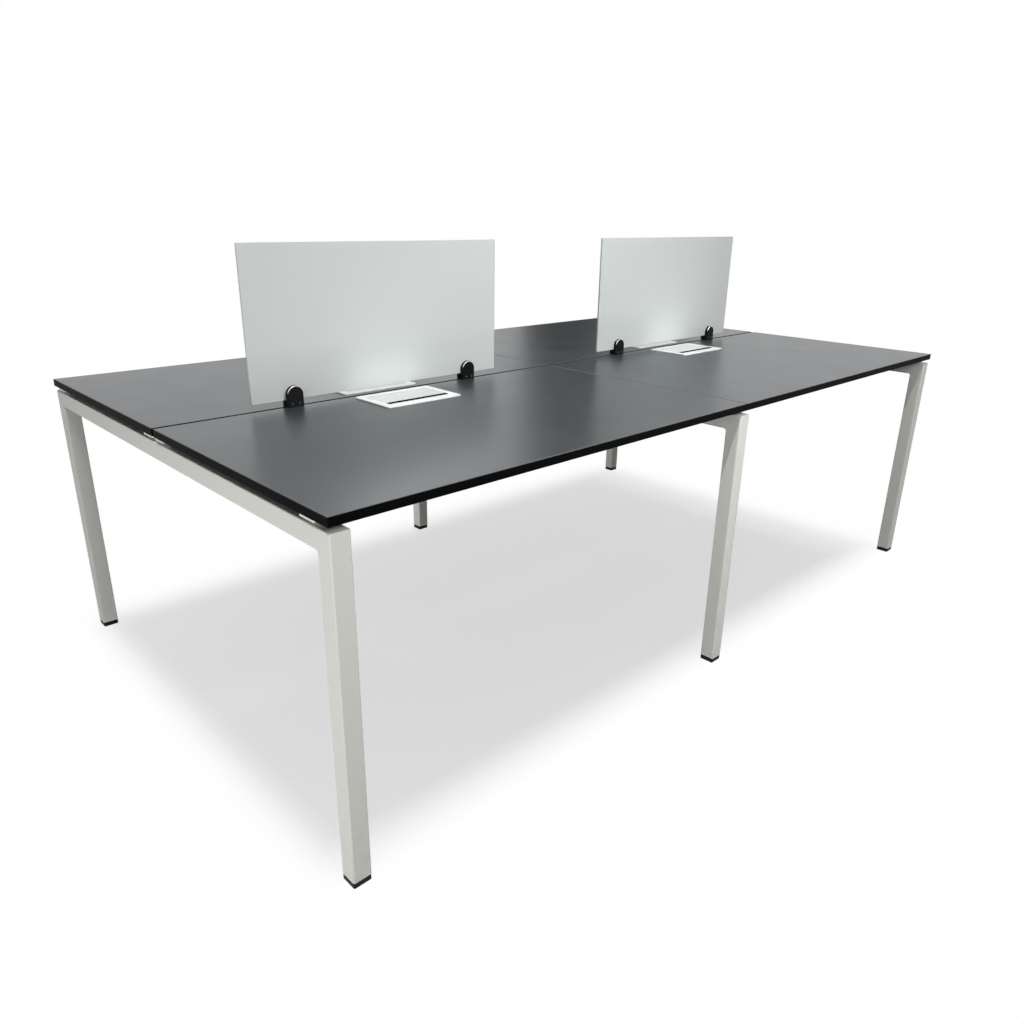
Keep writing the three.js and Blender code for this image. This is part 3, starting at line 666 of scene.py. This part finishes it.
# Each finish: colour in the settings and its factor, contrast of the flecks; their scale, share and cloud;
# grain, roughness and smear of the skin; depth of the bump in metres; constants of the shader
GLOSS = "Specular IOR Level"
WORKTOP_GLOSS = {GLOSS: 0.58, "Specular Tint": (0.82, 0.95, 1.0, 1)}
FROST = {"Transmission Weight": 0.1, "IOR": 1.49}
FINISHES = {
    "laminate": ("laminate", 1, 1.7, (900, 0.5, 0.03), (650, 0.31, 0.012), 2e-5, WORKTOP_GLOSS),
    "edge_band": ("edge_band", 1, 1.8, (500, 0.3, 0.08), (900, 0.5, 0.04), 2e-5, {GLOSS: 0.015}),
    "powder_coat": ("powder_coat", 1, 0.86, (420, 0.25, 0.015), (480, 0.42, 0.03), 3e-5, {GLOSS: 0.3}),
    "flap_coat": ("flap_coat", 1, 0.9, (700, 0.2, 0.01), (1100, 0.38, 0.03), 1e-5, {}),
    # The bezels take the lids' coat, glossier and made lighter: the extra lightness is a painted highlight on
    # their raised rim
    "bezel_coat": ("flap_coat", 1.34, 0.95, (700, 0.2, 0.01), (1100, 0.3, 0.03), 1e-5, {}),
    "moulded_plastic": ("plastic", 1, 1.8, (600, 0.4, 0.08), (1400, 0.5, 0.05), 4e-5, {GLOSS: 0.1}),
    "plated_steel": ("steel", 1, 0.75, (260, 0.5, 0.05), (800, 0.32, 0.06), 1e-5, {"Metallic": 1}),
    "frosted_acrylic": ("acrylic", 1, 0.95, (1500, 0.3, 0.01), (1800, 0.72, 0.03), 1e-5, FROST),
    "clamp_black": ("clamp", 1, 1.8, (600, 0.3, 0.08), (700, 0.25, 0.04), 5e-6, {GLOSS: 0.1}),
    "screw_black": ("clamp", 7, 1.5, (600, 0.3, 0.08), (700, 0.4, 0.04), 5e-6, {}),
    "bristle_black": ("bristle", 1, 2, (900, 0.4, 0.1), (900, 0.8, 0.05), 1e-5, {GLOSS: 0.05}),
}

# Amounts of dust, heights and amounts of scuffs, and what else is done to a finish: a painted sheen on the
# edge band, a painted highlight on the jaws and a tone for each bristle
DUSTY = {"laminate": 0.012, "flap_coat": 0.02, "moulded_plastic": 0.02}
SCUFFED = {"powder_coat": (0.16, 0.18)}
PAINTED_LIGHT_AND_TONE = {"edge_band": paint_band_sheen, "clamp_black": paint_jaw_highlight, "bristle_black": shade_strands}


def coated(name, color, contrast, flecks, skin, bump, constants):
    """A flecked colour with scuffs low down and dust on top, over a skin that gives bump and roughness."""
    material = new_material(name)
    tree = material.node_tree
    shader = tree.nodes["Principled BSDF"]
    vector = add_node(tree, "TexCoord")["Object"]
    fleck = (*scaled(color, contrast), 1)
    color = place_group(tree, fleck_group, vector, (*color, 1), fleck, *flecks)["Color"]
    surface = place_group(tree, skin_group, vector, *skin)
    rough = surface["Roughness"]
    if name in SCUFFED:
        color = place_group(tree, scuff_group, vector, color, SCUFF, *SCUFFED[name])["Color"]
    if name in DUSTY:
        film = place_group(tree, dust_group, vector, color, DUST, DUSTY[name])
        color = film["Color"]
        rough = math(tree, "ADD", rough, film["Mask"])
    normal = add_node(tree, "Bump", {"Height": surface["Height"], "Strength": 1.0, "Distance": bump})[0]
    for socket, link in {"Base Color": color, "Roughness": rough, "Normal": normal}.items():
        tree.links.new(link, shader.inputs[socket])
    for socket, value in constants.items():
        shader.inputs[socket].default_value = value
    if name in PAINTED_LIGHT_AND_TONE:
        PAINTED_LIGHT_AND_TONE[name](material)
    return material


def finish(context, name):
    """The material of a finish, made once."""
    if name in bpy.data.materials:
        return bpy.data.materials[name]
    setting, factor, *rest = FINISHES[name]
    return coated(name, scaled(getattr(context.scene.desk_finishes, setting), factor), *rest)


def dress(names, material):
    """Gives carried-over nodes their finish."""
    for name in names:
        node = NODES[name]
        if not node.material_slots:
            node.data.materials.append(material)
        for slot in node.material_slots:
            slot.material = material


def middle(name):
    """Lowest corner, highest corner and centre of a node, as arrays."""
    low, high = (np.array(corner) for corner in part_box(name))
    return low, high, (low + high) / 2


class DESK_OT_stage(Operator):
    """Pale floor, white surroundings, soft lamps and the camera"""

    bl_idname = "desk.stage"
    bl_label = "Stage"

    FLOOR_HALF = 60.0
    # Ways out from the desk's box at which its shadow starts and ends to fade, for both ends of X, then of Y
    FADES = (((-0.03, 0.07), (-0.27, 0.25)), ((-0.145, 0.005), (-0.095, 0.205)))
    FLAG_NEAR = (3.225, 3.392)
    FLAG_FAR = (4.14, 2.29)
    FLAG_OUTLINE = ((0, 0), (1, 0), (1, 1.4), (0.52, 1.6), (0.46, 4.5), (0, 4.5))
    FLAG_SHADE = 0.01
    OVERHEAD_ANGLE = np.radians(13)
    OVERHEAD_TILT = np.radians(2.5)
    # Place, aim and size of each softbox, and the angle of its cone where that is narrow
    LAMPS = {
        "back": ((1.0, 1.85, 2.6), (-0.5, -0.3, 0.74), (1.0, 0.7)),
        "key": ((-0.1, -2.4, 1.9), (-0.1, -0.5, 0.6), (1.6, 0.8)),
        "fill": ((0.4, -3.2, 2.8), (0.12, 0.0, 0.95), (0.8, 0.5), np.radians(44)),
        "side": ((-2.8, -1.0, 0.45), (-0.9, -0.7, 0.45), (1.2, 0.7)),
        "rear": ((0.8, 3.0, 1.5), (0.0, 0.2, 0.7), (1.6, 1.0)),
        "strip": ((-1.5, -1.18, 3.0), (-1.5, -1.18, 0.0), (1.0, 0.05)),
        "inner": ((-2.4, 0.9, 0.35), (0.6, 0.65, 0.1), (0.5, 0.4), np.radians(24)),
    }
    STEEP = 0.9
    GLOW_LIFT = 0.004
    GLOW_SIZE = (0.20, 0.06)
    TOP_KINDS = ("worktop", "flap_bezel", "flap_lid")
    SENSOR_WIDTH = 36

    def white(self, tree, kind, strength):
        """White light of a strength, from an emission or a background."""
        return add_node(tree, kind, {"Color": grey(1), "Strength": strength})[0]

    def either(self, tree, factor, first, second):
        """The first shader where a factor is none and the second where it is one."""
        return add_node(tree, "MixShader", {0: factor, 1: first, 2: second})[0]

    def sheet(self, name, corners, material):
        """One flat face."""
        mesh = bpy.data.meshes.new(name)
        mesh.from_pydata(corners, [], [range(len(corners))])
        mesh.materials.append(material)
        return add_object(name, mesh)

    def floor(self, stage):
        """A square of matt white, clear from below. Where it is seen it is lifted, so that only the shadow
        falls below white, and it turns to plain white over a short way outside the desk."""
        material = new_material("floor")
        tree = material.node_tree
        tree.nodes.clear()
        bounce = add_node(tree, "BsdfDiffuse", {"Color": grey(stage.floor_bounce)})[0]
        matt = add_node(tree, "BsdfDiffuse", {"Color": grey(stage.floor_matt)})[0]
        lift = self.white(tree, "Emission", stage.floor_lift)
        pale = add_node(tree, "AddShader", {0: matt, 1: lift})[0]
        plain = self.white(tree, "Emission", 1.0)
        shown = self.either(tree, self.fading(tree), pale, plain)
        upper = self.either(tree, self.seen(tree), bounce, shown)
        clear = add_node(tree, "BsdfTransparent")[0]
        below = add_node(tree, "NewGeometry")["Backfacing"]
        add_node(tree, "OutputMaterial", {"Surface": self.either(tree, below, upper, clear)})
        half = self.FLOOR_HALF
        corners = [(-half, -half, 0), (half, -half, 0), (half, half, 0), (-half, half, 0)]
        floor = self.sheet("floor", corners, material)
        return floor

    def seen(self, tree):
        """One for rays that show a surface, straight or in gloss or glass, and none for those that light
        by it."""
        rays = add_node(tree, "LightPath")
        mirrored = math(tree, "MAXIMUM", rays["Is Glossy Ray"], rays["Is Transmission Ray"])
        return math(tree, "MAXIMUM", rays["Is Camera Ray"], mirrored)

    def fading(self, tree):
        """Share of plain white on the floor: the root of the sum of two squared shares, one for each axis.
        A share grows from none to one over the way that FADES gives for its end of the desk."""
        place = add_node(tree, "TexCoord")["Object"]
        parts = add_node(tree, "SeparateXYZ", {0: place})
        squares = []
        for axis, fades in enumerate(self.FADES):
            shares = []
            for sign, corner, (start, stop) in zip((-1, 1), CAD_BOX, fades):
                edge = sign * corner[axis]
                out = math(tree, "MULTIPLY", parts[axis], sign)
                shares.append(spread(tree, out, edge + start, edge + stop))
            share = math(tree, "MAXIMUM", *shares)
            squares.append(math(tree, "MULTIPLY", share, share))
        return math(tree, "SQRT", math(tree, "ADD", *squares), 0.0)

    def surroundings(self, stage):
        """White to the camera and in reflections. As light on matt surfaces they grow from horizon to
        zenith."""
        world = bpy.data.worlds.new("surroundings")
        world.use_nodes = True
        tree = world.node_tree
        tree.nodes.clear()
        way = add_node(tree, "TexCoord")["Object"]
        height = add_node(tree, "SeparateXYZ", {0: way})[2]
        level = spread(tree, height, 0.0, 1.0, stage.horizon, stage.zenith)
        dim = self.white(tree, "Background", level)
        plain = self.white(tree, "Background", 1.0)
        add_node(tree, "OutputWorld", {"Surface": self.either(tree, self.seen(tree), dim, plain)})
        bpy.context.scene.world = world

    def flag(self):
        """A dark panel behind the desk, which shows only as a reflection in the worktops. Each corner of its
        outline is a share of the way from its near end to its far end, and a height."""
        share, height = np.array(self.FLAG_OUTLINE, float).T[:, :, None]
        foot = np.array(self.FLAG_NEAR) * (1 - share) + np.array(self.FLAG_FAR) * share
        material = new_material("flag")
        shader = material.node_tree.nodes["Principled BSDF"]
        shader.inputs["Base Color"].default_value = grey(self.FLAG_SHADE)
        shader.inputs["Roughness"].default_value = 1.0
        flag = self.sheet("flag", np.hstack((foot, height)).tolist(), material)
        flag.visible_camera = False
        flag.visible_diffuse = False
        flag.visible_transmission = False
        flag.visible_shadow = False

    def from_above(self, stage):
        """Even light straight down, wide enough to soften the edge of the shadow."""
        light = bpy.data.lights.new("overhead", "SUN")
        light.energy = stage.overhead
        light.angle = self.OVERHEAD_ANGLE
        add_object("overhead", light).rotation_euler.x = self.OVERHEAD_TILT

    def aim_at(self, state, objects, *lamps):
        """Keeps lamps off some objects with EXCLUDE, or for them alone with INCLUDE."""
        receivers = bpy.data.collections.new("receivers")
        for receiver in objects:
            receivers.objects.link(receiver)
        for link in receivers.collection_objects:
            link.light_linking.link_state = state
        for lamp in lamps:
            lamp.light_linking.receiver_collection = receivers

    def lamp(self, name, power, place, aim, size, cone=np.pi):
        """A softbox that faces a point."""
        light = bpy.data.lights.new(name, "AREA")
        light.shape = "RECTANGLE"
        light.size, light.size_y = size
        light.energy = power
        light.spread = cone
        lamp = add_object(name, light)
        place, aim = (np.array(point, float) for point in (place, aim))
        back = (place - aim) / np.linalg.norm(place - aim)
        right = np.cross((0, 1, 0) if abs(back[2]) > self.STEEP else (0, 0, 1), back)
        right /= np.linalg.norm(right)
        turn = np.column_stack((right, np.cross(back, right), back))
        lamp.matrix_world = Matrix.Translation(place) @ Matrix(turn.tolist()).to_4x4()
        return lamp

    def glows(self, stage):
        """Weak lamps on the cable flaps that face up, as their white lids throw light on the screens."""
        for flap in PLACES:
            _, high, centre = middle(f"{flap}_flap_lid")
            place = np.array((centre[0], centre[1], high[2] + self.GLOW_LIFT))
            glow = self.lamp(f"{flap}_glow", stage.glow, place, place + (0, 0, 1), self.GLOW_SIZE)
            glow.visible_camera = False
            glow.visible_glossy = False

    def camera(self, stage):
        """Camera turned by its heading about Z, its tilt about X and its roll about its own axis."""
        lens = bpy.data.cameras.new("camera")
        lens.sensor_width = self.SENSOR_WIDTH
        lens.lens = stage.camera_lens
        lens.clip_end = 2 * self.FLOOR_HALF
        camera = add_object("camera", lens)
        turn = Matrix.Rotation(stage.camera_heading, 4, "Z") @ Matrix.Rotation(stage.camera_tilt, 4, "X")
        turn = turn @ Matrix.Rotation(stage.camera_roll, 4, "Z")
        camera.matrix_world = Matrix.Translation(stage.camera_place) @ turn
        bpy.context.scene.camera = camera

    def execute(self, context):
        stage = context.scene.desk_stage
        context.scene.view_settings.view_transform = "Standard"
        self.surroundings(stage)
        self.flag()
        self.from_above(stage)
        lamps = {name: self.lamp(name, getattr(stage, name), *given) for name, given in self.LAMPS.items()}
        self.glows(stage)
        floor = self.floor(stage)
        tops = [NODES[f"{place}_{kind}"] for place in PLACES for kind in self.TOP_KINDS]
        frames = [NODES[f"{name}_frame"] for name in FRAMES]
        self.aim_at("EXCLUDE", [floor], lamps["back"], lamps["key"], lamps["fill"])
        self.aim_at("EXCLUDE", [floor, NODES["right_frame"]], lamps["side"])
        self.aim_at("EXCLUDE", [floor, *tops], lamps["rear"])
        self.aim_at("INCLUDE", frames, lamps["strip"])
        self.aim_at("INCLUDE", frames[1:], lamps["inner"])
        self.camera(stage)
        return {"FINISHED"}


class DESK_OT_worktops(Operator):
    """Laminate on the worktops and black band round them"""

    bl_idname = "desk.worktops"
    bl_label = "Worktops"

    def execute(self, context):
        dress([f"{place}_worktop" for place in PLACES], finish(context, "laminate"))
        dress([f"{place}_edge_band" for place in PLACES], finish(context, "edge_band"))
        return {"FINISHED"}


class DESK_OT_frames(Operator):
    """Powder coat on the frames and rails, and the weld beads under it"""

    bl_idname = "desk.frames"
    bl_label = "Frames and rails"

    ACROSS = ((0, 0, 1), (1, 0, 0), (0, 1, 0))

    def execute(self, context):
        coat = finish(context, "powder_coat")
        dress([f"{name}_frame" for name in FRAMES] + RAILS, coat)
        posts = [(middle(f"{name}_frame")[2][0], y, FRAME_TOP) for name in FRAMES for y in LUG_ROWS]
        ends = []
        for rail in RAILS:
            low, high, centre = middle(rail)
            posts += [(centre[0] + side * RAIL_LUG_SPREAD, centre[1], FRAME_TOP) for side in (-1, 1)]
            plates = (low[0] + RAIL_PLATE_THICKNESS, high[0] - RAIL_PLATE_THICKNESS)
            ends += [(x, centre[1], RAIL_MIDDLE) for x in plates]
        bead = context.scene.desk_details.bead
        ring = weld_bead(round_path(LUG_POST_RADIUS, LUG_BEAD_POINTS), bead)
        make_piece("lug_weld_beads", [placed(ring, posts)], coat, ring=True)
        path = box_path(RAIL_WIDTH / 2, RAIL_HEIGHT / 2, RAIL_CORNER, RAIL_BEAD_POINTS)
        seams = placed(weld_bead(path, bead), ends, self.ACROSS)
        make_piece("rail_weld_beads", [seams], coat, ring=True)
        return {"FINISHED"}


class DESK_OT_feet(Operator):
    """Moulded foot pads on threaded studs, and the plugs in the legs"""

    bl_idname = "desk.feet"
    bl_label = "Levelling feet"

    def execute(self, context):
        details = context.scene.desk_details
        plastic = finish(context, "moulded_plastic")
        steel = finish(context, "plated_steel")
        for name in FRAMES:
            for end in ROWS:
                dress([f"{name}_{end}_leg_plug"], plastic)
                self.foot(f"{name}_{end}_foot", details, plastic, steel)
        return {"FINISHED"}

    def foot(self, node, details, plastic, steel):
        """A stack of rounded squares with a chamfered sole and shoulder, and a threaded stud on it."""
        low, high, centre = middle(node)
        half = (high[0] - low[0]) / 2
        sole = FOOT_CHAMFER / 2
        insets = np.array((half, sole, 0, 0, FOOT_CHAMFER, half))
        shoulder = FOOT_PAD_HEIGHT - FOOT_CHAMFER
        heights = np.array((0, 0, sole, shoulder, FOOT_PAD_HEIGHT, FOOT_PAD_HEIGHT))
        pad = stack(half, half, FOOT_CORNER, insets, heights)
        ground = [(centre[0], centre[1], low[2])]
        piece = make_piece(f"{node}_pad", [placed(pad, ground)], plastic, node)
        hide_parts(node)
        thread = (STUD_RADIUS, details.thread_depth, details.thread_pitch, FOOT_PAD_HEIGHT, high[2] - low[2])
        make_piece(f"{node}_stud", [placed(screw_thread(*thread), ground)], steel, node)


class DESK_OT_flaps(Operator):
    """White coat on the cable flaps, plated hinge pins and full bristle strips"""

    bl_idname = "desk.flaps"
    bl_label = "Cable flaps"

    ROOT_COVER = 0.0009
    ROOT_DEPTH = 0.0016
    TONE_POWER = 3
    COATS = {"bezel": "bezel_coat", "lid": "flap_coat", "hinge_pin": "plated_steel"}

    def execute(self, context):
        draw = np.random.default_rng(SEED)
        for kind, coat in self.COATS.items():
            dress([f"{place}_flap_{kind}" for place in PLACES], finish(context, coat))
        for place in PLACES:
            self.brush(context, f"{place}_flap", draw)
        return {"FINISHED"}

    def brush(self, context, flap, draw):
        """A backing bar and the strands that it holds, which reach over the slot towards the lid."""
        details = context.scene.desk_details
        low, high, centre = middle(f"{flap}_brush")
        size = high - low
        inward = -np.sign(centre[1])
        backing = plate(size[0], BRUSH_BACKING, size[2], BACKING_CORNER, BACKING_ROUND)
        back_y = centre[1] - inward * (size[1] - BRUSH_BACKING) / 2
        bar = placed(backing, [(centre[0], back_y, low[2])])
        corner = np.array((-size[0] / 2, BRUSH_BACKING / 2, -self.ROOT_COVER))
        reach = size[1] - BRUSH_BACKING / 2
        strands = bristles(corner, size[0], reach, self.ROOT_DEPTH, details, draw)
        root = np.array((centre[0], back_y - inward * BRUSH_BACKING / 2, high[2]))
        strands = strands * np.array((1, inward, 1)) + root
        shades = np.zeros(bar.size // 3)
        tones = draw.uniform(0, 1, details.bristles) ** self.TONE_POWER
        shades = np.concatenate((shades, np.repeat(tones, strands[0].size // 3)))
        material = finish(context, "bristle_black")
        piece = make_piece(f"{flap}_bristles", [bar, strands], material, shades=shades)
        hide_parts(f"{flap}_brush")


class DESK_OT_screens(Operator):
    """Frosted acrylic screens with softened edges"""

    bl_idname = "desk.screens"
    bl_label = "Screens"

    UPRIGHT = ((1, 0, 0), (0, 0, -1), (0, 1, 0))

    def execute(self, context):
        arris = context.scene.desk_details.screen_arris
        material = finish(context, "frosted_acrylic")
        for bay in BAYS:
            low, high, centre = middle(f"{bay}_screen")
            size = high - low
            face = [(centre[0], high[1], centre[2])]
            sheet = plate(size[0], size[2], size[1], SCREEN_CORNER, arris)
            sheet = placed(sheet, face, self.UPRIGHT)
            piece = make_piece(f"{bay}_screen_sheet", [sheet], material)
            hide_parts(f"{bay}_screen")
        return {"FINISHED"}


class DESK_OT_clamps(Operator):
    """Arched clamp jaws with their screws, and the plates under the worktops"""

    bl_idname = "desk.clamps"
    bl_label = "Screen clamps"

    # Width over flats, height and washer radius of a bolt; radius, height and socket of a screw
    BOLT = (0.010, 0.004, 0.0075)
    SCREW = (0.0026, 0.0012, 0.0011)

    def execute(self, context):
        steel = finish(context, "plated_steel")
        bolts, screws = [], []
        for bay in BAYS:
            for side in SIDES:
                place = f"{bay}_screen_{side}_clamp"
                for end, direction in zip(ROWS, (1, -1)):
                    screws.append(self.jaw(context, f"{place}_{end}_jaw", bay, direction))
                low, _, centre = middle(f"{place}_plate")
                dress([f"{place}_plate"], steel)
                bolts.append((centre[0], centre[1], low[2]))
        make_piece("clamp_screws", screws, finish(context, "screw_black"))
        heads = placed(hex_bolt(*self.BOLT), bolts, DOWN)
        make_piece("clamp_bolts", [heads], steel)
        return {"FINISHED"}

    def jaw(self, context, node, bay, direction):
        """Makes one jaw and gives the surface of its two screw heads."""
        low, high, centre = middle(node)
        screen_low, screen_high, _ = middle(f"{bay}_screen")
        half = (high[0] - low[0]) / 2
        gap = (screen_high[1] - screen_low[1]) / 2 + JAW_CLEARANCE
        ledge = screen_low[2] - WORKTOP_TOP
        parting = min(abs(low[1]), abs(high[1]))
        outer = gap + JAW_THICKNESS
        arch = clamp_jaw(half, high[2] - WORKTOP_TOP, ledge, parting, gap, outer, WORKTOP_TOP - low[2])
        arch = placed(arch * np.array((1, direction, 1)), [(centre[0], 0, WORKTOP_TOP)])
        piece = make_piece(f"{node}_arch", [arch], finish(context, "clamp_black"))
        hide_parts(node)
        heads = [
            (centre[0] + side * CLAMP_SCREW_SPREAD, -direction * outer, WORKTOP_TOP + CLAMP_SCREW_HEIGHT)
            for side in (-1, 1)
        ]
        outward = ((1, 0, 0), (0, 0, -direction), (0, direction, 0))
        return placed(button_screw(*self.SCREW), heads, outward)


class DESK_OT_fasteners(Operator):
    """Bolts in the rails' end plates and screws in the lugs under the worktops"""

    bl_idname = "desk.fasteners"
    bl_label = "Fasteners"

    # As for the clamps, then the distances from the middle of a rail or lug, and the turns of the bolts
    BOLT = (0.013, 0.0053, 0.0085)
    SCREW = (0.0042, 0.0026, 0.0016)
    BOLT_SPREAD = 0.025
    SCREW_SPREAD = 0.017
    SEAM_SPREAD = 0.011
    TOWARDS = {1: ((0, 0, 1), (0, 1, 0), (-1, 0, 0)), -1: ((0, 0, -1), (0, 1, 0), (1, 0, 0))}

    def execute(self, context):
        steel = finish(context, "plated_steel")
        bolt = hex_bolt(*self.BOLT)
        bolts, screws = [], []
        for rail in RAILS:
            low, high, centre = middle(rail)
            ends = {1: low[0] + RAIL_PLATE_THICKNESS, -1: high[0] - RAIL_PLATE_THICKNESS}
            for way, x in ends.items():
                heads = [(x, centre[1] + side * self.BOLT_SPREAD, RAIL_MIDDLE) for side in (-1, 1)]
                bolts.append(placed(bolt, heads, self.TOWARDS[way]))
            for lug in (-1, 1):
                x = centre[0] + lug * RAIL_LUG_SPREAD
                screws += [(x + side * self.SCREW_SPREAD, centre[1], LUG_UNDERSIDE) for side in (-1, 1)]
        make_piece("rail_bolts", bolts, steel)
        for name in FRAMES:
            _, _, centre = middle(f"{name}_frame")
            shifts = (-self.SEAM_SPREAD, self.SEAM_SPREAD) if name == "middle" else (0,)
            for y in LUG_ROWS:
                for side in (-1, 1):
                    screws += [(centre[0] + x, y + side * self.SCREW_SPREAD, LUG_UNDERSIDE) for x in shifts]
        heads = placed(button_screw(*self.SCREW), screws, DOWN)
        make_piece("lug_screws", [heads], steel)
        return {"FINISHED"}


class DESK_PT_panel(Panel):
    """Buttons for each group of pieces"""

    bl_idname = "DESK_PT_panel"
    bl_label = "Benching Desk"
    bl_space_type = "VIEW_3D"
    bl_region_type = "UI"
    bl_category = "Desk"

    def draw(self, context):
        for operator in OPERATORS:
            self.layout.operator(operator.bl_idname)
        for setting in SETTINGS:
            group = getattr(context.scene, setting)
            box = self.layout.box()
            for name in group.__annotations__:
                box.prop(group, name)


OPERATORS = (
    DESK_OT_stage, DESK_OT_worktops, DESK_OT_frames, DESK_OT_feet,
    DESK_OT_flaps, DESK_OT_screens, DESK_OT_clamps, DESK_OT_fasteners,
)
SETTINGS = {"desk_finishes": DeskFinishes, "desk_details": DeskDetails, "desk_stage": DeskStage}
CLASSES = (*SETTINGS.values(), *OPERATORS, DESK_PT_panel)


def register():
    for kind in CLASSES:
        bpy.utils.register_class(kind)
    for name, kind in SETTINGS.items():
        setattr(bpy.types.Scene, name, PointerProperty(type=kind))


def unregister():
    for name in SETTINGS:
        delattr(bpy.types.Scene, name)
    for kind in reversed(CLASSES):
        bpy.utils.unregister_class(kind)


def main():
    register()
    for operator in OPERATORS:
        getattr(bpy.ops.desk, operator.bl_idname.split(".")[1])()


if __name__ == "__main__":
    main()
